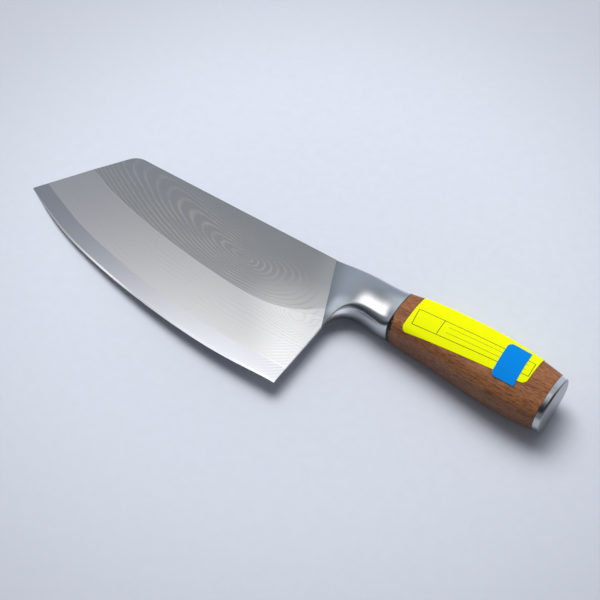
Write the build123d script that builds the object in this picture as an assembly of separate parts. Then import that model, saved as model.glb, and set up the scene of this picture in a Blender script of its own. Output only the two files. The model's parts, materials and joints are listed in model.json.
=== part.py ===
from build123d import *
import math
import os

os.makedirs("parts", exist_ok=True)

# Broad kitchen cleaver with a forged collar and a wooden handle, in millimetres.
# It is drawn flat: x runs from the nose of the blade to the butt of the handle,
# y from the cutting edge to the spine, z out of the cheek that faces up.
# y = 0 is the line of the tang and z = 0 the middle plane of the blade.
# Only at the end is it laid down on its nose and its handle, as it rests on a table.

# Blade outline
blade_length = 198.0          # nose to heel
spine_height = 14.4           # spine above the line of the tang
nose_height = 54.4            # nose below the spine
nose_lean = 36.0              # front edge: run from the nose back to the spine
front_corner_radius = 10.0
heel_drop = 31.1              # heel below the nose
seam_lean = 19.0              # seam with the collar: run from spine to heel side
seam_height = 41.9

# Blade section, from the spine down to the edge
blade_thickness = 2.5
grind_height = 39.5           # start of the wedge, above the edge
plunge_rise = 22.0            # how far the wedge line climbs behind the heel
strip_height = 10.8           # edge strip, above the edge
strip_thickness = 1.1
bevel_height = 1.2            # honed bevel at the very edge
bevel_thickness = 0.6
edge_thickness = 0.12

# Stations along the blade: place along its length, drop of the edge, climb of the wedge line
BLADE_STATION_SHARES = [
    (-0.04, -0.105, 0.0), (0.12, 0.295, 0.0), (0.24, 0.545, 0.0), (0.36, 0.716, 0.0),
    (0.50, 0.865, 0.0), (0.62, 0.955, 0.0), (0.75, 1.012, 0.0), (0.87, 1.012, 0.13),
    (1.02, 0.985, 1.0),
]

# Tongue of the blade, hidden in the collar
tongue_length = 20.0
tongue_height = 15.0
tongue_thickness = 1.9
tongue_root = 4.0             # part of the tongue that lies inside the blade
weld_gap = 0.1

# Collar
collar_reach = 30.4           # heel to the end of the collar
collar_top = 14.8             # end section above and below the line of the tang
collar_bottom = 12.6
collar_thickness = 21.6
collar_corner = 6.6
collar_crown = 2.0            # bulge of its sides
seam_corner = 0.3
seam_crown = 0.02

# Sections between the seam and the end of the collar: run of the top point, run of the
# bottom point, rise of the bottom point, thickness and corner
COLLAR_SECTION_SHARES = [
    (0.16, 0.058, 0.63, 0.40, 0.25), (0.33, 0.19, 0.95, 0.68, 0.46), (0.62, 0.53, 1.06, 0.87, 0.78),
]

# Tenon of the collar and the mortise that it fills in the wood
tenon_length = 8.0
tenon_height = 17.0
tenon_thickness = 13.0
tenon_corner = 2.0
tenon_gap = 0.1

# Handle from the collar to the butt
front_glue = 0.4
grip_length = 89.4
rear_glue = 0.2
cap_length = 3.5
butt_top = 13.2
butt_bottom = 18.3
butt_thickness = 23.4
butt_corner = 6.4
butt_crown = 3.4
top_swell = 4.4
bottom_swell = 2.6
side_swell = 0.9

# Stations along the handle: place, then shares of the top, bottom and side swell
HANDLE_STATION_SHARES = [
    (0.0, 0.0, 0.0, 0.0), (0.22, 0.72, 0.20, 0.60), (0.46, 1.0, 0.62, 1.0),
    (0.68, 0.92, 1.0, 0.95), (0.86, 0.52, 0.72, 0.45), (1.0, 0.0, 0.0, 0.0),
]

# Tang rod, washer, nut and what they sit in
rod_diameter = 8.0
rod_chamfer = 0.8
rod_engagement = 12.0         # length screwed into the collar
rod_past_nut = 2.0
bore_diameter = 10.0
washer_diameter = 16.0
washer_thickness = 1.6
nut_across_flats = 13.0
nut_height = 6.5
nut_chamfer = 0.6
thread_gap = 0.05
counterbore_diameter = 18.0

# End cap
rim_radius = 1.2
spigot_length = 5.0
spigot_bore = 11.0
spigot_gap = 0.1

# Paper labels on the wood
label_thickness = 0.18
adhesive_thickness = 0.03     # left open between paper and what it sticks to
stock_label_start = 7.6       # behind the collar
stock_label_length = 70.0
stock_label_low = 11.3        # lower edge below the line of the tang
stock_label_tilt = 4.3        # its rear end sits higher
stock_label_wrap = 5.0        # past the middle of the back of the handle
tag_start = 60.4
tag_length = 12.9
tag_low = 11.1
tag_high = 12.0
tag_lean = 1.7
label_corner = 3.0

cut_overrun = 5.0             # how far a cutting body runs past what it cuts

# Places that follow from the sizes
nose_y = spine_height - nose_height
seam_top_x = blade_length - seam_lean
seam_bottom_y = spine_height - seam_height
collar_end_x = blade_length + collar_reach
grip_start_x = collar_end_x + front_glue
grip_end_x = grip_start_x + grip_length
cap_start_x = grip_end_x + rear_glue
butt_x = cap_start_x + cap_length
nut_start_x = grip_end_x - spigot_length - rod_past_nut - nut_height
washer_start_x = nut_start_x - washer_thickness


def blend(start, end, share):
    """A value part of the way from start to end."""
    return start + (end - start) * share


def slab(x_low, x_high):
    """Everything between two planes square to the tang."""
    width = x_high - x_low
    depth = 2 * (blade_length + cut_overrun)
    return Pos((x_low + x_high) / 2, 0, 0) * Box(width, depth, depth)


def rod_along_x(diameter, x_low, x_high):
    """A round bar on the line of the tang."""
    bar = Cylinder(diameter / 2, x_high - x_low, rotation=(0, 90, 0))
    return Pos((x_low + x_high) / 2, 0, 0) * bar


def oval(top, bottom, thickness, corner, crown):
    """Rounded section between two points in the blade's plane, with bulging sides."""
    top, bottom = Vector(*top), Vector(*bottom)
    middle = (top + bottom) / 2
    half_height = (top - bottom).length / 2
    half_thickness = thickness / 2
    inner_height = half_height - crown
    inner_thickness = half_thickness - crown
    broad_side = ThreePointArc(
        (-inner_height, inner_thickness), (0, half_thickness), (inner_height, inner_thickness))
    top_side = ThreePointArc(
        (inner_height, inner_thickness), (half_height, 0), (inner_height, -inner_thickness))
    sides = [broad_side, top_side]
    sides += [side.rotate(Axis.Z, 180) for side in sides]
    face = make_face(Curve() + sides)
    face = fillet(face.vertices(), corner)
    up_the_section = (top - bottom).normalized()
    plane = Plane(middle, x_dir=up_the_section, z_dir=up_the_section.cross(Vector(0, 0, 1)))
    return plane * face


def blade_section(along, drop, climb):
    """Wedge section of the blade square to its length, carried on past the cheek up to the spine."""
    x = blade_length * along
    edge_y = nose_y - heel_drop * drop
    wedge_height = grind_height + plunge_rise * climb - strip_height
    run = (spine_height - edge_y - strip_height) / wedge_height
    half = [
        (spine_height, blend(strip_thickness, blade_thickness, run) / 2),
        (edge_y + strip_height, strip_thickness / 2),
        (edge_y + bevel_height, bevel_thickness / 2),
        (edge_y, edge_thickness / 2),
    ]
    points = half + [(y, -z) for y, z in reversed(half)]
    plane = Plane((x, 0, 0), x_dir=(0, 1, 0), z_dir=(1, 0, 0))
    return plane * make_face(Polyline(*points, close=True))


def blade_blank():
    """Outline of the blade, open below the edge, as a plate of the thickness of the cheeks."""
    slope = nose_lean / nose_height
    low_y = nose_y - 2 * heel_drop
    front_low = (slope * (low_y - nose_y), low_y)
    front_corner = (nose_lean, spine_height)
    outline = Polyline(
        front_low, front_corner, (seam_top_x, spine_height), (blade_length, seam_bottom_y),
        (blade_length, low_y), close=True)
    face = make_face(outline)
    corner = face.vertices().sort_by_distance((*front_corner, 0))[0]
    face = fillet(corner, front_corner_radius)
    return extrude(face, blade_thickness / 2, both=True)


def seam_point(y):
    """Place along x of the seam at a height y."""
    return seam_top_x + seam_lean * (spine_height - y) / seam_height


def tongue(gap):
    """Flat tongue on the line of the tang, across the seam."""
    start_x = seam_point(tongue_height / 2) - tongue_root
    end_x = seam_point(0) + tongue_length + gap
    height = tongue_height + 2 * gap
    thickness = tongue_thickness + 2 * gap
    return Pos((start_x + end_x) / 2, 0, 0) * Box(end_x - start_x, height, thickness)


def blade():
    wedge = loft([blade_section(*shares) for shares in BLADE_STATION_SHARES])
    return (wedge & blade_blank()) + tongue(0)


def collar_sections():
    """Sections that fan out from the leaning seam to the square end of the collar."""
    seam = oval((seam_top_x, spine_height), (blade_length, seam_bottom_y),
                blade_thickness, seam_corner, seam_crown)
    sections = [seam]
    for top_run, bottom_run, bottom_rise, thickness, corner in COLLAR_SECTION_SHARES:
        top = (blend(seam_top_x, collar_end_x, top_run), spine_height)
        bottom = (blend(blade_length, collar_end_x, bottom_run),
                  blend(seam_bottom_y, -collar_bottom, bottom_rise))
        sections.append(oval(top, bottom, collar_thickness * thickness,
                             collar_corner * corner, collar_crown * thickness))
    sections.append(handle_section(0, 0, 0, 0, 0).moved(Pos(collar_end_x - grip_start_x, 0, 0)))
    return sections


def collar():
    body = loft(collar_sections())
    body += tenon(0)
    body -= tongue(weld_gap)
    return body - rod_along_x(rod_diameter, collar_end_x - rod_engagement,
                              collar_end_x + tenon_length + cut_overrun)


def tenon(gap):
    """Square peg behind the collar."""
    profile = RectangleRounded(tenon_height + 2 * gap, tenon_thickness + 2 * gap, tenon_corner + gap)
    plane = Plane((collar_end_x - gap, 0, 0), x_dir=(0, 1, 0), z_dir=(1, 0, 0))
    return extrude(plane * profile, tenon_length + 2 * gap)


def handle_section(along, top_share, bottom_share, side_share, growth):
    """Section of the handle at a share of the way from its front to the butt."""
    x = blend(grip_start_x, butt_x, along)
    top = blend(collar_top, butt_top, along) + top_swell * top_share + growth
    bottom = blend(collar_bottom, butt_bottom, along) + bottom_swell * bottom_share + growth
    thickness = blend(collar_thickness, butt_thickness, along) + 2 * side_swell * side_share
    corner = blend(collar_corner, butt_corner, along) + growth
    crown = blend(collar_crown, butt_crown, along)
    return oval((x, top), (x, -bottom), thickness + 2 * growth, corner, crown)


def handle_body(growth=0.0):
    """The whole handle behind the collar, as one smooth body."""
    return loft([handle_section(*shares, growth) for shares in HANDLE_STATION_SHARES])


def front_glue_line(body):
    front = body & slab(grip_start_x, grip_start_x + front_glue)
    front = front.moved(Pos(-front_glue, 0, 0))
    return front - tenon(0)


def grip(body):
    wood = body & slab(grip_start_x, grip_end_x)
    wood -= tenon(tenon_gap)
    wood -= rod_along_x(bore_diameter, grip_start_x, grip_end_x)
    return wood - rod_along_x(counterbore_diameter, washer_start_x, grip_end_x + cut_overrun)


def tang_rod():
    rod = rod_along_x(rod_diameter, collar_end_x - rod_engagement,
                      nut_start_x + nut_height + rod_past_nut)
    ends = rod.edges().filter_by(GeomType.CIRCLE)
    return chamfer(ends, rod_chamfer)


def tang_epoxy():
    """Resin that fills the bore of the wood round the rod."""
    start = collar_end_x + tenon_length + tenon_gap
    sleeve = rod_along_x(bore_diameter, start, washer_start_x)
    return sleeve - rod_along_x(rod_diameter, start, washer_start_x)


def tang_washer():
    washer = rod_along_x(washer_diameter, washer_start_x, nut_start_x)
    return washer - rod_along_x(rod_diameter + 2 * thread_gap, washer_start_x, nut_start_x)


def tang_nut():
    circumradius = nut_across_flats / math.sqrt(3)
    plane = Plane((nut_start_x, 0, 0), x_dir=(0, 1, 0), z_dir=(1, 0, 0))
    nut = extrude(plane * RegularPolygon(circumradius, 6), nut_height)
    cone_start = nut_start_x + nut_height / 2
    crown = rod_along_x(2 * circumradius, cone_start, nut_start_x + nut_height)
    crown = chamfer(crown.edges().filter_by(GeomType.CIRCLE).sort_by(Axis.X)[-1], nut_chamfer)
    crown += rod_along_x(2 * circumradius, nut_start_x, cone_start)
    nut &= crown
    return nut - rod_along_x(rod_diameter + 2 * thread_gap, nut_start_x - cut_overrun,
                             nut_start_x + nut_height + cut_overrun)


def end_cap(body):
    cap = body & slab(cap_start_x, butt_x + cut_overrun)
    rear_face = cap.faces().sort_by(Axis.X)[-1]
    cap = fillet(rear_face.edges(), rim_radius)
    spigot_start = grip_end_x - spigot_length + spigot_gap
    spigot = rod_along_x(counterbore_diameter - 2 * spigot_gap, spigot_start, cap_start_x)
    spigot -= rod_along_x(spigot_bore, spigot_start, cap_start_x)
    return cap + spigot


def rear_glue_line(body):
    rear = body & slab(grip_end_x, cap_start_x)
    return rear - rod_along_x(counterbore_diameter, grip_end_x, cap_start_x)


def skin(layer):
    """Sheet of paper that hugs the handle, the first or a second one on top of it."""
    outer = layer * (label_thickness + adhesive_thickness)
    return handle_body(outer) - handle_body(outer - label_thickness)


def label_patch(corners, z_low, rounded_corners):
    """Prism that cuts one label out of a skin, its corners rounded from the collar's side on."""
    face = make_face(Polyline(*corners, close=True))
    face = fillet(face.vertices().sort_by(Axis.X)[:rounded_corners], label_corner)
    return extrude(face.moved(Pos(0, 0, z_low)), butt_thickness - z_low)


def stock_label():
    """Long label on the upper cheek that folds over the back of the handle."""
    start = grip_start_x + stock_label_start
    end = start + stock_label_length
    high = collar_top + top_swell + 2 * label_corner
    patch = label_patch([
        (start, -stock_label_low), (end, -stock_label_low + stock_label_tilt),
        (end, high), (start, high)], -stock_label_wrap, 4)
    return skin(1) & patch


def lot_tag():
    """Small tag across the rear of the long label, cut square at its rear."""
    start = grip_start_x + tag_start
    end = start + tag_length
    patch = label_patch([
        (start, -tag_low), (end, -tag_low), (end - tag_lean, tag_high), (start - tag_lean, tag_high)],
        0, 2)
    return skin(2) & patch


def pieces():
    body = handle_body()
    return {
        "blade": blade(),
        "bolster": collar(),
        "front_glue_line": front_glue_line(body),
        "handle_grip": grip(body),
        "tang_rod": tang_rod(),
        "tang_epoxy": tang_epoxy(),
        "tang_washer": tang_washer(),
        "tang_nut": tang_nut(),
        "rear_glue_line": rear_glue_line(body),
        "end_cap": end_cap(body),
        "stock_label": stock_label(),
        "lot_tag": lot_tag(),
    }


def rest_pose(model):
    """Lay the knife on its nose and handle, with the middle of its footprint at the origin."""
    rest_slopes = []
    for along, top_share, bottom_share, side_share in HANDLE_STATION_SHARES:
        thickness = blend(collar_thickness, butt_thickness, along) + 2 * side_swell * side_share
        station_x = blend(grip_start_x, butt_x, along)
        rest_slopes.append((thickness - edge_thickness) / 2 / station_x)
    tilt = Rotation(0, -math.degrees(math.atan(max(rest_slopes))), 0)
    box = Compound(children=[tilt * piece for piece in model.values()]).bounding_box()
    shift = Pos(-box.center().X, -box.center().Y, -box.min.Z)
    return shift * tilt


model = pieces()
pose = rest_pose(model)
for name, piece in model.items():
    placed = pose * piece
    print(name, "solids", len(placed.solids()), "volume", round(placed.volume, 1))
    export_step(placed, f"parts/{name}.step")
print("pose", pose)
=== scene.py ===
"""Looks of the broad kitchen cleaver: finishes of its pieces, and the table and light it lies in."""

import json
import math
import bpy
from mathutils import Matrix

bl_info = {
    "name": "Kitchen cleaver",
    "version": (1, 0, 0),
    "blender": (4, 5, 0),
    "location": "3D View > Sidebar > Cleaver",
    "description": "Dresses the cleaver's frame in steel, wood and paper, and sets the table and the light",
    "category": "Object",
}

import bmesh
import bpy
from mathutils import Matrix, Vector

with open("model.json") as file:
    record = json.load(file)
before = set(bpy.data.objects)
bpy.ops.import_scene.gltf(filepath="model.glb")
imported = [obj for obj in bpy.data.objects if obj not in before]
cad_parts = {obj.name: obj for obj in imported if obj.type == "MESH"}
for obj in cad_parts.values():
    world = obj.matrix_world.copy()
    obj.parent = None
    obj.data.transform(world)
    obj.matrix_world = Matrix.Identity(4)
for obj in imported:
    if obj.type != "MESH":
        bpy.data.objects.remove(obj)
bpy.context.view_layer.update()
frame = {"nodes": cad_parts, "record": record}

MM = 0.001
WHITE = (1.0, 1.0, 1.0, 1.0)

# Places on the knife in its own lines, in millimetres:
# x from nose to butt, y from edge to spine, z out of the upper cheek, y = 0 on the tang.
EDGE_LENGTH = 198.0
NOSE_Y = -40.0
HEEL_DROP = 31.1
CLIMB_RISE = 22.0
CHEEK_POINT = Vector((110.0, 0.0, 1.25)) * MM
SPINE_Y = 14.4
SEAM_TOP_X = 179.0
SEAM_SLOPE = 19.0 / 41.9
JOINT_X = 228.6
CAP_FACE_X = 321.0
HALF_BUTT = 18.0

# Shares of the edge's length, with shares of the heel's drop and of the wedge line's climb there
EDGE_SHARES = [
    (-0.04, -0.105), (0.12, 0.295), (0.24, 0.545), (0.36, 0.716), (0.50, 0.865),
    (0.62, 0.955), (0.75, 1.012), (0.87, 1.012), (1.02, 0.985),
]
CLIMB_SHARES = [(-0.04, 0.0), (0.62, 0.0), (0.75, 0.0), (0.87, 0.13), (1.02, 1.0)]

# Etched pattern: the middle of its eye, how long the eye is to the nose and to the heel, how its lines
# bend near the eye and far from it, how blunt they turn, their spacing and how it grows outwards
EYE_PLACE = (136.8, -12.6)
EYE_STRETCH = (6.0, 2.6)
EYE_BENDS = (0.031, 0.025)
BEND_GUESS = 0.022
BEND_POWER = 1.5
RING_POWER = 2.6
EYE_SPACING = 1.5
RING_GROWTH = 0.012

# The pattern fades towards the spine, above a line of this slope
FADE_SLOPE = 0.16

# Faint lines of the wedge: their spacing, and the place, spread and lift of their knot
WEDGE_SPACING = 2.3
KNOT_PLACE = (183.0, -32.0, 2.0)
KNOT_SPREAD = (0.009, 0.028)
KNOT_LIFT = 10.0

# Brush strokes at the heel: the way across them and their spacing
STROKE_ACROSS = (-0.60, 0.80)
STROKE_SPACING = 1.9

# Steel of the blade where it is ground or honed, with brushed streaks, a glint and faint lines. The darker,
# bluer nose tones and the dark bevel are painted reflection; the highlight steel is painted highlight.
WEDGE_AT_NOSE = (0.605, 0.62, 0.65, 1.0)
WEDGE_BEHIND = (0.645, 0.645, 0.65, 1.0)
STRIP_AT_NOSE = (0.565, 0.605, 0.69, 1.0)
STRIP_BEHIND = (0.645, 0.66, 0.695, 1.0)
BEVEL_DARK_REFLECTION = (0.33, 0.335, 0.35, 1.0)
PAINTED_HIGHLIGHT_STEEL = (0.98, 0.98, 0.98, 1.0)
SEAM_STREAKS = (0.70, 0.72, 0.74, 1.0)
GRIND_GLINT = (0.85, 0.85, 0.85, 1.0)
FAINT_LINE = (0.45, 0.43, 0.40, 1.0)

# Painted reflection on the turned rim of the cap, from its lower to its upper end: grey, a dark band, then
# a white highlight
RIM_PAINTED_REFLECTION = [
    (0.06, (0.50, 0.51, 0.53, 1.0)), (0.16, (0.26, 0.27, 0.29, 1.0)),
    (0.30, (0.26, 0.27, 0.29, 1.0)), (0.44, WHITE),
]

# Painted shade, multiplied into the lower side of the handle's wood
LOWER_WOOD_SHADE = (0.60, 0.56, 0.54, 1.0)
GLUE_BLACK = (0.008, 0.007, 0.007, 1.0)

# Ruled lines of the stock label, each from one point to another, and how wide they are
RULE = 0.34
WRITING_LINE = 0.2
RULED_BOX = [
    ((238.5, 4.1), (239.9, -5.9), RULE),
    ((239.9, -5.9), (305.6, -2.2), RULE),
    ((238.5, 4.1), (305.0, 6.9), RULE),
    ((253.6, 5.0), (254.0, -4.6), RULE),
    ((257.5, 1.9), (302.5, 3.9), WRITING_LINE),
    ((257.6, -1.6), (302.6, 0.6), WRITING_LINE),
    ((305.0, 6.9), (305.6, -2.2), RULE),
]

# Half the width of the table in metres, and the middle of the pool of light painted on it
FLOOR_HALF = 2.0
LIT_MIDDLE = (0.005, 0.030, 0.0)

# Camera in the frame: its place in millimetres, where it looks and its right hand
CAMERA_PLACE = (235.603, -308.953, 525.943)
CAMERA_FORWARD = (-0.33982, 0.49077, -0.80229)
CAMERA_RIGHT = (0.81426, 0.58042, 0.01016)
SENSOR_WIDTH = 36.0

# Lamp in metres and watts
LAMP_PLACE = (-0.616, 0.788, 1.732)
LAMP_SIZE = (1.5, 1.2)
LAMP_POWER = 34.0

# Ways to the middle of the soft box and to the backdrop behind the blade
BOX_WAY = (-0.3973, 0.1853, 0.8988)
BACK_WAY = (-0.766, 0.643, 0.0)

# How bright the soft box is, from its rim to its middle, and how blue
BOX_LEVELS = [
    (0.0, 0.31), (0.167, 0.33), (0.25, 0.36), (0.378, 0.45), (0.476, 0.63), (0.551, 0.82),
    (0.60, 0.95), (0.631, 1.05), (0.69, 1.25), (0.80, 1.8), (0.90, 2.6), (1.0, 2.6),
]
BOX_BLUE = 1.02

# Backdrop from the horizon up, the dark of the room and the grey wall in front
BACKDROP_TONES = [
    (0.0, (0.46, 0.50, 0.57, 1.0)), (0.40, (0.45, 0.51, 0.58, 1.0)),
    (0.60, (0.40, 0.45, 0.51, 1.0)), (0.72, (0.31, 0.34, 0.385, 1.0)),
]
DARK_ROOM = (0.028, 0.029, 0.034, 1.0)
FRONT_WALL = (0.24, 0.25, 0.27, 1.0)


def knife_lines():
    """Matrix from the knife's own lines to the frame, read off the record's mounts."""
    mounts = {mount["name"]: mount for mount in frame["record"]["mounts"]}
    along = Vector(mounts["butt_face"]["axis"]).normalized()
    out = Vector(mounts["upper_cheek"]["axis"]).normalized()
    across = out.cross(along)
    turn = Matrix((along, across, out)).transposed()
    origin = Vector(mounts["upper_cheek"]["pos_m"]) - turn @ CHEEK_POINT
    return Matrix.Translation(origin) @ turn.to_4x4()


KNIFE = knife_lines()


def colour(value):
    return (*value[:3], 1.0)


def grey_to(value, share):
    """A colour made darker or lighter by a share."""
    return (*[channel * share for channel in value[:3]], 1.0)


# Short calls for node trees

class Graph:
    """A node tree with short calls that add nodes and join them."""

    def __init__(self, tree):
        self.tree = tree
        tree.nodes.clear()

    def join(self, value, socket):
        """Links a socket, or writes a number or colour."""
        if isinstance(value, bpy.types.NodeSocket):
            self.tree.links.new(value, socket)
        else:
            socket.default_value = value

    def add(self, kind, values=None, **settings):
        """Adds a node, with its settings and the values of its inputs by name or number."""
        node = self.tree.nodes.new(kind)
        for name, setting in settings.items():
            setattr(node, name, setting)
        for key, value in (values or {}).items():
            self.join(value, node.inputs[key])
        return node

    def math(self, operation, *values):
        return self.add("ShaderNodeMath", dict(enumerate(values)), operation=operation).outputs[0]

    def times(self, product, *factors):
        for factor in factors:
            product = self.math("MULTIPLY", product, factor)
        return product

    def plus(self, total, *terms):
        for term in terms:
            total = self.math("ADD", total, term)
        return total

    def minus(self, first, second):
        return self.math("SUBTRACT", first, second)

    def vectors(self, operation, first, second):
        """A number worked out from two vectors."""
        node = self.add("ShaderNodeVectorMath", {0: first, 1: second}, operation=operation)
        return node.outputs["Value"]

    def split(self, vector):
        return self.add("ShaderNodeSeparateXYZ", {0: vector}).outputs

    def between(self, value, low, high, start=0.0, end=1.0, smooth=True):
        """Maps low..high to start..end, held at both ends."""
        kind = "SMOOTHSTEP" if smooth else "LINEAR"
        node = self.add("ShaderNodeMapRange", {0: value, 1: low, 2: high, 3: start, 4: end},
                        interpolation_type=kind, clamp=True)
        return node.outputs[0]

    def near(self, value, middle, inner, outer):
        """1 within the inner distance of a middle, and 0 past the outer one."""
        away = self.math("ABSOLUTE", self.minus(value, middle))
        return self.between(away, inner, outer, 1.0, 0.0)

    def mix(self, share, first, second, blend="MIX"):
        """Mixes two colours."""
        node = self.add("ShaderNodeMix", {0: share, 6: first, 7: second},
                        data_type="RGBA", blend_type=blend)
        return node.outputs[2]

    def number_mix(self, share, first, second):
        node = self.add("ShaderNodeMix", {0: share, 2: first, 3: second}, data_type="FLOAT")
        return node.outputs[0]

    def ramp(self, value, stops):
        """A colour ramp of (place, colour) stops."""
        node = self.add("ShaderNodeValToRGB", {0: value})
        elements = node.color_ramp.elements
        while len(elements) < len(stops):
            elements.new(1.0)
        for element, (place, tone) in zip(elements, stops):
            element.position = place
            element.color = tone
        return node.outputs[0]

    def curve(self, value, points, low, high):
        """A smooth curve through (place, value) points, places from low to high."""
        node = self.add("ShaderNodeFloatCurve")
        place = self.between(value, low, high, smooth=False)
        self.join(place, node.inputs["Value"])
        mapping = node.mapping
        mapping.use_clip = False
        line = mapping.curves[0]
        places = [((x - low) / (high - low), y) for x, y in points]
        while len(line.points) < len(places):
            line.points.new(0.5, 0.5)
        for point, (x, y) in zip(line.points, places):
            point.location = (x, y)
        mapping.update()
        return node.outputs[0]

    def grain(self, point, fineness, detail=2.0, rough=0.5):
        """Noise, with how fine it is along each of the three lines."""
        scaled = self.add("ShaderNodeMapping", {"Vector": point, "Scale": fineness}).outputs[0]
        node = self.add("ShaderNodeTexNoise", {"Vector": scaled, "Scale": 1.0, "Detail": detail,
                        "Roughness": rough})
        return node.outputs["Fac"]

    def bump(self, height, strength):
        node = self.add("ShaderNodeBump", {"Height": height, "Strength": strength, "Distance": 1.0})
        return node.outputs[0]


def knife_point(graph):
    """Coordinates in the knife's own lines, in millimetres."""
    place = graph.add("ShaderNodeTexCoord").outputs["Object"]
    mapping = graph.add("ShaderNodeMapping", {
        "Vector": place, "Location": KNIFE.translation, "Rotation": KNIFE.to_euler(),
        "Scale": (MM, MM, MM)}, vector_type="TEXTURE")
    return mapping.outputs[0]


def finish_material(name, build):
    """Makes a material and hands its graph and shader to the function that fills it."""
    material = bpy.data.materials.new(name)
    material.use_nodes = True
    graph = Graph(material.node_tree)
    shader = graph.add("ShaderNodeBsdfPrincipled")
    output = graph.add("ShaderNodeOutputMaterial")
    graph.join(shader.outputs[0], output.inputs["Surface"])
    build(graph, shader)
    return material


def surface(graph, shader, base, rough, normal=None, metal=False):
    """Joins colour, roughness and bump to a shader."""
    graph.join(base, shader.inputs["Base Color"])
    graph.join(rough, shader.inputs["Roughness"])
    if normal is not None:
        graph.join(normal, shader.inputs["Normal"])
    if metal:
        shader.inputs["Metallic"].default_value = 1.0


def dress(node_name, material):
    """Gives a CAD node its finish."""
    node = frame["nodes"][node_name]
    if not node.material_slots:
        node.data.materials.append(material)
    for slot in node.material_slots:
        slot.material = material


# Sizes and colours that a user would change

class BladeFinish(bpy.types.PropertyGroup):
    steel: bpy.props.FloatVectorProperty(
        name="Steel", description="Colour of the flat of the blade", subtype="COLOR", size=3,
        min=0.0, max=1.0, default=(0.56, 0.585, 0.61))
    etched: bpy.props.FloatVectorProperty(
        name="Etched lines", description="Colour of the etched lines", subtype="COLOR", size=3,
        min=0.0, max=1.0, default=(0.70, 0.685, 0.65))
    grind_height: bpy.props.FloatProperty(
        name="Wedge height", description="Height of the wedge above the edge", subtype="DISTANCE",
        unit="LENGTH", default=39.5 * MM)
    strip_height: bpy.props.FloatProperty(
        name="Strip height", description="Height of the edge strip", subtype="DISTANCE",
        unit="LENGTH", default=10.8 * MM)
    bevel_height: bpy.props.FloatProperty(
        name="Bevel height", description="Height of the honed bevel", subtype="DISTANCE",
        unit="LENGTH", default=1.2 * MM)


class CollarFinish(bpy.types.PropertyGroup):
    steel: bpy.props.FloatVectorProperty(
        name="Steel", description="Colour of the polished collar", subtype="COLOR", size=3,
        min=0.0, max=1.0, default=(0.60, 0.62, 0.645))
    roughness: bpy.props.FloatProperty(
        name="Roughness", description="Roughness of the polish", subtype="FACTOR",
        min=0.0, max=1.0, default=0.24)


class WoodFinish(bpy.types.PropertyGroup):
    light: bpy.props.FloatVectorProperty(
        name="Light wood", description="Colour of the pale bands", subtype="COLOR", size=3,
        min=0.0, max=1.0, default=(0.40, 0.160, 0.062))
    dark: bpy.props.FloatVectorProperty(
        name="Dark wood", description="Colour of the dark bands", subtype="COLOR", size=3,
        min=0.0, max=1.0, default=(0.19, 0.068, 0.023))
    pore: bpy.props.FloatVectorProperty(
        name="Pores", description="Colour of the pores", subtype="COLOR", size=3,
        min=0.0, max=1.0, default=(0.080, 0.030, 0.014))


class CapFinish(bpy.types.PropertyGroup):
    steel: bpy.props.FloatVectorProperty(
        name="Steel", description="Colour of the end cap", subtype="COLOR", size=3,
        min=0.0, max=1.0, default=(0.62, 0.635, 0.66))


class LabelFinish(bpy.types.PropertyGroup):
    yellow: bpy.props.FloatVectorProperty(
        name="Stock label", description="Colour of the long label", subtype="COLOR", size=3,
        min=0.0, max=1.0, default=(0.93, 0.99, 0.004))
    blue: bpy.props.FloatVectorProperty(
        name="Lot tag", description="Colour of the small tag", subtype="COLOR", size=3,
        min=0.0, max=1.0, default=(0.004, 0.25, 0.78))
    ink: bpy.props.FloatVectorProperty(
        name="Ink", description="Colour of the ruled lines", subtype="COLOR", size=3,
        min=0.0, max=1.0, default=(0.03, 0.035, 0.02))


class StageSettings(bpy.types.PropertyGroup):
    floor: bpy.props.FloatVectorProperty(
        name="Floor", description="Colour of the table", subtype="COLOR", size=3,
        min=0.0, max=1.0, default=(0.74, 0.77, 0.85))
    lens: bpy.props.FloatProperty(
        name="Lens", description="Focal length", subtype="DISTANCE_CAMERA", default=72.0)


# Blade

def edge_height(graph, x, y):
    """Height above the edge, and the rise of the wedge line near the heel."""
    low, high = -0.05 * EDGE_LENGTH, 1.05 * EDGE_LENGTH
    drops = [(share * EDGE_LENGTH, drop) for share, drop in EDGE_SHARES]
    climbs = [(share * EDGE_LENGTH, climb) for share, climb in CLIMB_SHARES]
    drop = graph.curve(x, drops, low, high)
    climb = graph.curve(x, climbs, low, high)
    edge_y = graph.math("MULTIPLY_ADD", drop, -HEEL_DROP, NOSE_Y)
    return graph.minus(y, edge_y), graph.times(climb, CLIMB_RISE)


def seam_distance(graph, x, y):
    """How far a point of the blade lies in front of the leaning seam."""
    seam = graph.math("MULTIPLY_ADD", graph.minus(SPINE_Y, y), SEAM_SLOPE, SEAM_TOP_X)
    return graph.minus(seam, x)


class BladeZones:
    """How much a point of the blade belongs to each of its zones, from 0 to 1."""

    def __init__(self, graph, point, sizes):
        self.x, self.y, _ = graph.split(point)
        self.height, rise = edge_height(graph, self.x, self.y)
        strip_top = sizes.strip_height / MM
        bevel_top = sizes.bevel_height / MM
        self.over_grind = graph.minus(graph.minus(self.height, rise), sizes.grind_height / MM)
        self.flat = graph.between(self.over_grind, -0.25, 0.25)
        self.grind_line = graph.near(self.over_grind, 0.0, 0.15, 0.55)
        self.strip = graph.between(self.height, strip_top - 0.2, strip_top + 0.2, 1.0, 0.0)
        self.bevel = graph.between(self.height, bevel_top - 0.2, bevel_top + 0.1, 1.0, 0.0)
        self.by_seam = graph.between(seam_distance(graph, self.x, self.y), 1.0, 13.0, 1.0, 0.0)


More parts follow.
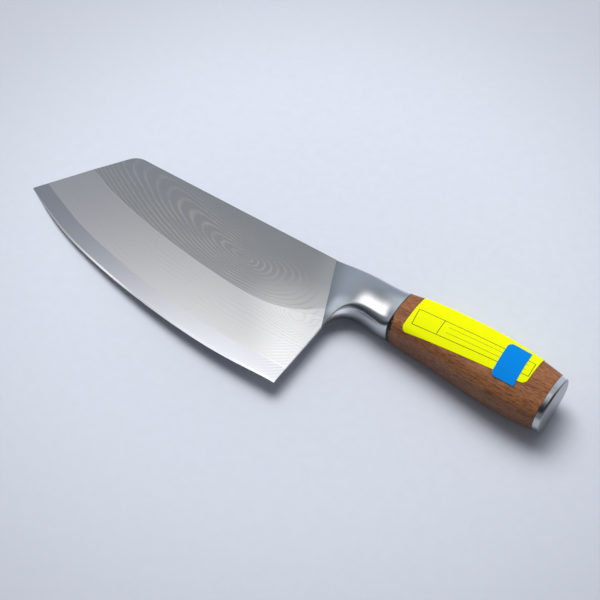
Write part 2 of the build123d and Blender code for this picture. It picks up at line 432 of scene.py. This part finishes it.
def eye_rings(graph, x, y):
    """Distance from the eye of the pattern, in a measure that is long towards the nose."""
    u = graph.minus(x, EYE_PLACE[0])
    v = graph.minus(y, EYE_PLACE[1])
    to_nose = graph.math("MAXIMUM", graph.times(u, -1.0), 0.0)
    to_heel = graph.math("MAXIMUM", u, 0.0)
    bend = graph.math("POWER", to_nose, BEND_POWER)
    run = graph.plus(graph.math("DIVIDE", to_nose, EYE_STRETCH[0]),
                     graph.math("DIVIDE", to_heel, EYE_STRETCH[1]))
    run = graph.math("POWER", run, RING_POWER)

    def rings(bend_share):
        across = graph.math("ABSOLUTE", graph.minus(v, graph.times(bend, bend_share)))
        across = graph.math("POWER", across, RING_POWER)
        return graph.math("POWER", graph.plus(across, run), 1.0 / RING_POWER)

    return rings(graph.between(rings(BEND_GUESS), 7.0, 20.0, *EYE_BENDS))


def etched_phase(graph, point, zones):
    """Counts the etched rings outwards from the eye."""
    wobble = graph.grain(point, (0.014, 0.035, 0.035))
    rings = eye_rings(graph, zones.x, zones.y)
    sway = graph.number_mix(graph.between(rings, 1.0, 10.0), 0.9, 2.6)
    rings = graph.plus(rings, graph.times(sway, graph.minus(wobble, 0.5)))
    rings = graph.math("MAXIMUM", rings, 0.0)
    grown = graph.math("MULTIPLY_ADD", rings, RING_GROWTH, 1.0)
    return graph.math("DIVIDE", graph.math("LOGARITHM", grown, math.e), RING_GROWTH * EYE_SPACING)


def wedge_phase(graph, point, zones):
    """Counts the faint lines of the wedge up from the edge, with a knot near the heel."""
    wobble = graph.grain(point, (0.014, 0.05, 0.05))
    u = graph.minus(zones.x, KNOT_PLACE[0])
    v = graph.minus(zones.y, KNOT_PLACE[1])
    away = graph.plus(graph.times(u, u, KNOT_SPREAD[0]), graph.times(v, v, KNOT_SPREAD[1]))
    knot = graph.times(graph.math("EXPONENT", graph.times(away, -1.0)), KNOT_LIFT)
    field = graph.plus(zones.height, knot, graph.times(wobble, 11.0))
    return graph.math("DIVIDE", field, WEDGE_SPACING)


def thin_lines(graph, phase, low, high):
    """A thin line at each whole count."""
    wave = graph.math("FRACT", phase)
    ridge = graph.math("ABSOLUTE", graph.math("MULTIPLY_ADD", wave, 2.0, -1.0))
    return graph.between(ridge, low, high)


def etched_lines(graph, point, zones, worn):
    """Etched lines of the flat, which fade towards the spine, the nose and the seam."""
    lines = thin_lines(graph, etched_phase(graph, point, zones), 0.40, 1.0)
    over_eye = graph.math("MULTIPLY_ADD", zones.x, FADE_SLOPE, zones.y)
    below_spine = graph.between(over_eye, 17.0, 29.0, 1.0, 0.08)
    behind_nose = graph.between(zones.x, 20.0, 120.0, 0.65, 1.0)
    off_seam = graph.minus(1.0, zones.by_seam)
    return graph.times(lines, below_spine, worn, behind_nose, off_seam, zones.flat, 0.80)


def faint_lines(graph, point, zones, worn):
    """Faint lines of the wedge, clearest at their knot. The strip has them near the nose only."""
    lines = thin_lines(graph, wedge_phase(graph, point, zones), 0.62, 1.0)
    by_nose = graph.between(zones.x, 60.0, 120.0, 1.0, 0.0)
    off_strip = graph.number_mix(zones.strip, 1.0, by_nose)
    from_knot = graph.vectors("DISTANCE", point, KNOT_PLACE)
    strength = graph.between(from_knot, 9.0, 17.0, 0.40, 0.13)
    return graph.times(lines, worn, off_strip, graph.minus(1.0, zones.flat), strength)


def heel_strokes(graph, point, zones):
    """Bright slanted brush strokes on the wedge behind the heel."""
    across = graph.plus(graph.times(zones.x, STROKE_ACROSS[0]), graph.times(zones.y, STROKE_ACROSS[1]))
    sway = graph.times(graph.grain(point, (0.06, 0.06, 0.0), detail=1.0), 3.0)
    strokes = thin_lines(graph, graph.math("DIVIDE", graph.plus(across, sway), STROKE_SPACING), 0.2, 1.0)
    far_back = graph.between(zones.x, 177.0, 193.0)
    below_choil = graph.between(zones.y, -26.0, -36.0)
    above_tip = graph.between(zones.y, -67.0, -52.0, 0.15, 1.0)
    return graph.times(strokes, far_back, below_choil, above_tip)


def steel_with_painted_light(graph, zones, steel):
    """Colour of the plain flat, wedge and strip. A painted reflection makes wedge and strip darker and
    bluer at the nose, and painted highlights brighten the wedge at the heel, the flat just above the grind
    line and the blade towards the collar.
    """
    # Painted reflection: wedge and strip darker and bluer towards the nose
    to_middle = graph.between(zones.x, 30.0, 130.0)
    wedge = graph.mix(to_middle, WEDGE_AT_NOSE, WEDGE_BEHIND)
    # Painted highlight on the wedge at the heel
    heel_highlight = graph.between(graph.plus(zones.x, zones.height), 184.0, 226.0)
    wedge = graph.mix(heel_highlight, wedge, PAINTED_HIGHLIGHT_STEEL)
    body = graph.mix(zones.flat, wedge, colour(steel))
    # Painted highlights on the flat just above the grind line, and towards the collar
    low_on_flat = graph.between(zones.over_grind, 0.0, 27.0, 1.0, 0.0)
    flat_highlight = graph.times(low_on_flat, graph.between(zones.x, 142.0, 174.0), zones.flat)
    body = graph.mix(flat_highlight, body, PAINTED_HIGHLIGHT_STEEL)
    collar_side_highlight = graph.times(graph.between(zones.x, 160.0, 188.0), 0.30)
    body = graph.mix(collar_side_highlight, body, PAINTED_HIGHLIGHT_STEEL)
    return graph.mix(zones.strip, body, graph.mix(to_middle, STRIP_AT_NOSE, STRIP_BEHIND))


def seam_streaks(graph, point, zones):
    """Brushed streaks in front of the seam."""
    streaks = graph.grain(point, (1.3, 0.05, 0.05), detail=3.0)
    return graph.times(zones.by_seam, graph.between(streaks, 0.42, 0.66), 0.45)


def blade_roughness(graph, point, zones, etched):
    """Roughness of the flat, the wedge and the strip, with fine marks along the blade."""
    fine = graph.grain(point, (0.05, 4.0, 4.0))
    rough = graph.number_mix(zones.flat, 0.20, 0.16)
    rough = graph.number_mix(zones.strip, rough, 0.11)
    rough = graph.plus(rough, graph.times(etched, 0.04), graph.times(zones.by_seam, 0.03))
    return graph.plus(rough, graph.math("MULTIPLY_ADD", fine, 0.03, -0.015))


def blade_material(finish):
    def build(graph, shader):
        point = knife_point(graph)
        zones = BladeZones(graph, point, finish)
        wear = graph.grain(point, (0.035, 0.09, 0.09), detail=3.0)
        worn = graph.between(wear, 0.34, 0.62, 0.30, 1.0)
        etched = etched_lines(graph, point, zones, worn)
        base = steel_with_painted_light(graph, zones, finish.steel)
        base = graph.mix(seam_streaks(graph, point, zones), base, SEAM_STREAKS)
        base = graph.mix(etched, base, colour(finish.etched))
        base = graph.mix(faint_lines(graph, point, zones, worn), base, FAINT_LINE)
        base = graph.mix(graph.times(zones.grind_line, 0.35), base, GRIND_GLINT)
        base = graph.mix(graph.times(heel_strokes(graph, point, zones), 0.75), base, WHITE)
        # Painted reflection on the bevel: a white highlight near the nose, dark behind it
        honed = graph.mix(graph.between(zones.x, 70.0, 110.0), WHITE, BEVEL_DARK_REFLECTION)
        base = graph.mix(graph.times(zones.bevel, 0.9), base, honed)
        rough = blade_roughness(graph, point, zones, etched)
        normal = graph.bump(graph.times(etched, 0.002 * MM), 0.6)
        surface(graph, shader, base, rough, normal, metal=True)

    return finish_material("etched_blade_steel", build)


class DressBlade(bpy.types.Operator):
    """Etched flat, satin wedge and bright edge strip of the blade"""
    bl_idname = "cleaver.dress_blade"
    bl_label = "Blade"

    def execute(self, context):
        dress("blade", blade_material(context.scene.cleaver_blade))
        return {"FINISHED"}


# Collar and end cap

def painted_collar_highlights(graph, point, brush):
    """Painted highlights on the collar: at the foot of its fan, and before the wood."""
    x, y, z = graph.split(point)
    fan_highlight = graph.times(graph.near(x, 199.0, 1.5, 8.0), graph.near(y, -13.5, 2.0, 9.0),
                         graph.between(z, 0.0, 2.0))
    wood_end_highlight = graph.times(graph.between(x, 214.0, 225.0), graph.near(y, 1.5, 2.0, 7.5),
                          graph.between(brush, 0.35, 0.6, 0.55, 1.0), graph.between(z, 2.0, 5.0))
    return fan_highlight, wood_end_highlight


def collar_material(finish):
    def build(graph, shader):
        point = knife_point(graph)
        z = graph.split(point)[2]
        brush = graph.grain(point, (0.25, 6.0, 6.0))
        cloud = graph.grain(point, (0.05, 0.05, 0.05))
        base = graph.mix(graph.times(cloud, 0.4), colour(finish.steel), grey_to(finish.steel, 0.86))
        # Painted shade: the collar is darker towards its lower side
        base = graph.mix(graph.between(z, 6.5, -1.0), base, grey_to(finish.steel, 0.58))
        # Painted highlights, mixed towards white
        for painted_spot in painted_collar_highlights(graph, point, brush):
            base = graph.mix(painted_spot, base, WHITE)
        rough = graph.math("MULTIPLY_ADD", brush, 0.08, finish.roughness - 0.04)
        normal = graph.bump(graph.times(brush, 0.002 * MM), 0.5)
        surface(graph, shader, base, rough, normal, metal=True)

    return finish_material("polished_collar_steel", build)


class DressCollar(bpy.types.Operator):
    """Polished steel of the collar"""
    bl_idname = "cleaver.dress_collar"
    bl_label = "Collar"

    def execute(self, context):
        dress("bolster", collar_material(context.scene.cleaver_collar))
        return {"FINISHED"}


def cap_material(finish):
    def build(graph, shader):
        point = knife_point(graph)
        x, y, _ = graph.split(point)
        face = graph.between(x, CAP_FACE_X, CAP_FACE_X + 0.7)
        across = graph.grain(point, (4.0, 5.0, 0.12))
        round_the_rim = graph.grain(point, (6.0, 0.1, 0.1))
        brush = graph.number_mix(face, round_the_rim, across)
        base = graph.mix(graph.times(brush, 0.35), colour(finish.steel), grey_to(finish.steel, 0.8))
        # Painted reflection on the rim, by height across the butt: grey low, a dark band, a white highlight
        # above
        rim = graph.ramp(graph.between(y, -HALF_BUTT, HALF_BUTT, smooth=False), RIM_PAINTED_REFLECTION)
        base = graph.mix(0.85, base, rim)
        base = graph.mix(face, base, grey_to(finish.steel, 0.60))
        rough = graph.number_mix(face, 0.20, 0.30)
        rough = graph.plus(rough, graph.math("MULTIPLY_ADD", brush, 0.08, -0.04))
        normal = graph.bump(graph.times(brush, 0.003 * MM), 0.5)
        surface(graph, shader, base, rough, normal, metal=True)

    return finish_material("brushed_cap_steel", build)


class DressCap(bpy.types.Operator):
    """Brushed steel of the end cap"""
    bl_idname = "cleaver.dress_cap"
    bl_label = "End cap"

    def execute(self, context):
        dress("end_cap", cap_material(context.scene.cleaver_cap))
        return {"FINISHED"}


# Handle

def glue_bead(graph, point, x, y):
    """Black resin squeezed out of the joint on the lower side of the handle."""
    lumps = graph.grain(point, (0.9, 0.9, 0.9))
    reach = graph.times(graph.between(lumps, 0.32, 0.56, 0.7, 2.1), graph.between(y, -5.0, -9.5))
    away = graph.math("ABSOLUTE", graph.minus(x, JOINT_X))
    return graph.between(graph.minus(away, reach), 0.1, 0.3, 1.0, 0.0)


def wood_tone(graph, point, streak):
    """How light the wood is, from its year rings and its streaks."""
    _, y, z = graph.split(point)
    warp = graph.grain(point, (0.02, 0.06, 0.06))
    rings = graph.plus(graph.times(y, 0.22), graph.times(z, 0.35), graph.times(warp, 4.0))
    band = graph.math("MULTIPLY_ADD", graph.math("SINE", graph.times(rings, 2.2)), 0.5, 0.5)
    tone = graph.plus(graph.times(band, 0.09), graph.times(streak, 0.91))
    return graph.between(tone, 0.32, 0.64)


def wood_material(finish):
    def build(graph, shader):
        point = knife_point(graph)
        x, y, z = graph.split(point)
        streak = graph.grain(point, (0.09, 1.5, 1.5), detail=5.0, rough=0.7)
        pore = graph.between(graph.grain(point, (0.40, 2.8, 2.8), detail=3.0), 0.50, 0.64)
        base = graph.mix(wood_tone(graph, point, streak), colour(finish.dark), colour(finish.light))
        base = graph.mix(graph.times(pore, 0.80), base, colour(finish.pore))
        # Painted shade: the wood is darker towards its lower side
        base = graph.mix(graph.between(z, 7.0, -3.0), base, LOWER_WOOD_SHADE, blend="MULTIPLY")
        base = graph.mix(glue_bead(graph, point, x, y), base, GLUE_BLACK)
        rough = graph.math("MULTIPLY_ADD", streak, 0.16, 0.42)
        depth = graph.plus(pore, graph.times(streak, -0.4))
        normal = graph.bump(graph.times(depth, -0.02 * MM), 0.6)
        surface(graph, shader, base, rough, normal)
        shader.inputs["Specular IOR Level"].default_value = 0.4

    return finish_material("oiled_handle_wood", build)


class DressHandle(bpy.types.Operator):
    """Oiled wood of the handle"""
    bl_idname = "cleaver.dress_handle"
    bl_label = "Handle wood"

    def execute(self, context):
        dress("handle_grip", wood_material(context.scene.cleaver_wood))
        return {"FINISHED"}


def resin_material(name, value, rough):
    def build(graph, shader):
        grains = graph.grain(knife_point(graph), (1.2, 1.2, 1.2), detail=3.0)
        base = graph.mix(grains, colour(value), grey_to(value, 1.8))
        normal = graph.bump(graph.times(grains, 0.03 * MM), 0.5)
        surface(graph, shader, base, graph.math("MULTIPLY_ADD", grains, 0.2, rough - 0.1), normal)

    return finish_material(name, build)


class DressGlue(bpy.types.Operator):
    """Dark resin between the wood and its two ends, and amber resin round the tang"""
    bl_idname = "cleaver.dress_glue"
    bl_label = "Glue lines"

    def execute(self, context):
        black = resin_material("black_epoxy", (0.012, 0.011, 0.011), 0.45)
        dress("front_glue_line", black)
        dress("rear_glue_line", black)
        dress("tang_epoxy", resin_material("clear_epoxy", (0.42, 0.34, 0.20), 0.30))
        return {"FINISHED"}


def zinc_material():
    def build(graph, shader):
        point = knife_point(graph)
        x = graph.split(point)[0]
        thread_pitch = 1.25
        turns = graph.math("SINE", graph.times(x, 2.0 * math.pi / thread_pitch))
        cloud = graph.grain(point, (0.5, 0.5, 0.5), detail=3.0)
        base = graph.mix(cloud, (0.50, 0.51, 0.53, 1.0), (0.38, 0.39, 0.41, 1.0))
        rough = graph.math("MULTIPLY_ADD", cloud, 0.2, 0.3)
        surface(graph, shader, base, rough, graph.bump(graph.times(turns, 0.1 * MM), 0.6), metal=True)

    return finish_material("zinc_plated_steel", build)


class DressHardware(bpy.types.Operator):
    """Zinc plated rod, washer and nut inside the handle"""
    bl_idname = "cleaver.dress_hardware"
    bl_label = "Rod, washer and nut"

    def execute(self, context):
        zinc = zinc_material()
        for name in ("tang_rod", "tang_washer", "tang_nut"):
            dress(name, zinc)
        return {"FINISHED"}


# Labels

def ruled_line(graph, x, y, first, second, width):
    """Share of ink on a straight line between two points."""
    (x1, y1), (x2, y2) = first, second
    length = math.hypot(x2 - x1, y2 - y1)
    cos, sin = (x2 - x1) / length, (y2 - y1) / length
    dx = graph.minus(x, x1)
    dy = graph.minus(y, y1)
    along = graph.plus(graph.times(dx, cos), graph.times(dy, sin))
    aside = graph.minus(graph.times(dy, cos), graph.times(dx, sin))
    on_it = graph.near(along, length / 2, length / 2, length / 2 + width * 0.3)
    return graph.times(graph.near(aside, 0.0, width * 0.35, width * 0.65), on_it)


def paper_material(name, value, ruled, ink):
    """Paper with ruled lines, each from one point to another in the knife's own lines."""
    def build(graph, shader):
        point = knife_point(graph)
        x, y, _ = graph.split(point)
        fibres = graph.grain(point, (3.0, 3.0, 3.0), detail=4.0)
        cloud = graph.grain(point, (0.12, 0.12, 0.12))
        base = graph.mix(graph.times(fibres, 0.16), colour(value), grey_to(value, 0.8))
        base = graph.mix(graph.times(cloud, 0.12), base, grey_to(value, 0.85))
        for first, second, width in ruled:
            base = graph.mix(ruled_line(graph, x, y, first, second, width), base, colour(ink))
        surface(graph, shader, base, 0.6, graph.bump(graph.times(fibres, 0.01 * MM), 0.4))
        shader.inputs["Specular IOR Level"].default_value = 0.02

    return finish_material(name, build)


class DressLabels(bpy.types.Operator):
    """Yellow stock label with ruled lines, and the blue lot tag"""
    bl_idname = "cleaver.dress_labels"
    bl_label = "Labels"

    def execute(self, context):
        finish = context.scene.cleaver_labels
        dress("stock_label", paper_material("yellow_paper", finish.yellow, RULED_BOX, finish.ink))
        dress("lot_tag", paper_material("blue_paper", finish.blue, [], finish.ink))
        return {"FINISHED"}


# Stage

def floor_material(settings):
    def build(graph, shader):
        place = graph.add("ShaderNodeTexCoord").outputs["Object"]
        cloud = graph.grain(place, (2.0, 2.0, 2.0))
        grit = graph.grain(place, (160.0, 160.0, 160.0), detail=4.0, rough=0.7)
        base = graph.mix(cloud, colour(settings.floor), grey_to(settings.floor, 0.97))
        base = graph.mix(graph.between(grit, 0.3, 0.7, smooth=False), base, grey_to(settings.floor, 0.95))
        # Painted pool of light: the table darkens to 0.7 of its colour away from its lit middle
        dim = graph.between(graph.vectors("DISTANCE", place, LIT_MIDDLE), 0.12, 0.33)
        base = graph.mix(dim, base, grey_to(settings.floor, 0.70))
        surface(graph, shader, base, 0.85)
        shader.inputs["Specular IOR Level"].default_value = 0.2

    return finish_material("pale_table", build)


def add_floor(settings):
    table = bmesh.new()
    bmesh.ops.create_grid(table, x_segments=1, y_segments=1, size=FLOOR_HALF)
    mesh = bpy.data.meshes.new("floor")
    table.to_mesh(mesh)
    table.free()
    floor = bpy.data.objects.new("floor", mesh)
    bpy.context.scene.collection.objects.link(floor)
    mesh.materials.append(floor_material(settings))


def add_camera(settings):
    """Camera above the handle's side, which looks down on the knife."""
    camera = bpy.data.objects.new("camera", bpy.data.cameras.new("camera"))
    bpy.context.scene.collection.objects.link(camera)
    camera.data.lens = settings.lens
    camera.data.sensor_width = SENSOR_WIDTH
    camera.data.clip_start = 0.01
    forward = Vector(CAMERA_FORWARD).normalized()
    right = Vector(CAMERA_RIGHT).normalized()
    up = right.cross(forward)
    turn = Matrix((right, up, -forward)).transposed()
    camera.matrix_world = Matrix.Translation(Vector(CAMERA_PLACE) * MM) @ turn.to_4x4()
    bpy.context.scene.camera = camera


def add_lamp():
    """A soft box that faces the knife. Steel mirrors the studio's own soft box in its place."""
    lamp = bpy.data.lights.new("soft_box", "AREA")
    lamp.shape = "RECTANGLE"
    lamp.size, lamp.size_y = LAMP_SIZE
    lamp.energy = LAMP_POWER
    light = bpy.data.objects.new("soft_box", lamp)
    bpy.context.scene.collection.objects.link(light)
    place = Vector(LAMP_PLACE)
    aim = (-place).to_track_quat("-Z", "Y").to_matrix().to_4x4()
    light.matrix_world = Matrix.Translation(place) @ aim
    light.visible_glossy = False


def add_world():
    """Soft box overhead that leans back to the left, a dim backdrop behind and a grey wall in front."""
    world = bpy.data.worlds.new("studio")
    bpy.context.scene.world = world
    world.use_nodes = True
    graph = Graph(world.node_tree)
    way = graph.add("ShaderNodeTexCoord").outputs["Generated"]
    to_box = graph.vectors("DOT_PRODUCT", way, BOX_WAY)
    to_back = graph.vectors("DOT_PRODUCT", way, BACK_WAY)
    backdrop = graph.ramp(graph.split(way)[2], BACKDROP_TONES)
    front = graph.mix(graph.between(to_back, -0.65, -0.30), FRONT_WALL, DARK_ROOM)
    room = graph.mix(graph.between(to_back, -0.15, 0.30), front, backdrop)
    into_box = graph.between(to_box, 0.92, 1.0, smooth=False)
    box = graph.ramp(into_box, [
        (share, (level, level, level * BOX_BLUE, 1.0)) for share, level in BOX_LEVELS])
    sky = graph.mix(graph.between(to_box, 0.90, 0.93), room, box)
    back = graph.add("ShaderNodeBackground", {"Color": sky, "Strength": 1.0})
    output = graph.add("ShaderNodeOutputWorld")
    graph.join(back.outputs[0], output.inputs["Surface"])


class SetStage(bpy.types.Operator):
    """Pale table, soft studio light and the camera"""
    bl_idname = "cleaver.set_stage"
    bl_label = "Table, light and camera"

    def execute(self, context):
        settings = context.scene.cleaver_stage
        add_floor(settings)
        add_camera(settings)
        add_world()
        add_lamp()
        context.scene.view_settings.view_transform = "Standard"
        return {"FINISHED"}


GROUPS = {
    "cleaver_blade": BladeFinish, "cleaver_collar": CollarFinish, "cleaver_wood": WoodFinish,
    "cleaver_cap": CapFinish, "cleaver_labels": LabelFinish, "cleaver_stage": StageSettings,
}

OPERATORS = [DressBlade, DressCollar, DressHandle, DressGlue, DressCap, DressHardware, DressLabels,
             SetStage]


class CleaverPanel(bpy.types.Panel):
    """Finishes of the cleaver and its stage"""
    bl_idname = "VIEW3D_PT_cleaver"
    bl_label = "Cleaver"
    bl_space_type = "VIEW_3D"
    bl_region_type = "UI"
    bl_category = "Cleaver"

    def draw(self, context):
        for name in GROUPS:
            group = getattr(context.scene, name)
            column = self.layout.column()
            for key in group.__annotations__:
                column.prop(group, key)
        for operator in OPERATORS:
            self.layout.operator(operator.bl_idname)


def register():
    for kind in [*GROUPS.values(), *OPERATORS, CleaverPanel]:
        bpy.utils.register_class(kind)
    for name, kind in GROUPS.items():
        setattr(bpy.types.Scene, name, bpy.props.PointerProperty(type=kind))


def unregister():
    for name in GROUPS:
        delattr(bpy.types.Scene, name)
    for kind in reversed([*GROUPS.values(), *OPERATORS, CleaverPanel]):
        bpy.utils.unregister_class(kind)


def main():
    register()
    for operator in OPERATORS:
        group, name = operator.bl_idname.split(".")
        getattr(getattr(bpy.ops, group), name)()


if __name__ == "__main__":
    main()
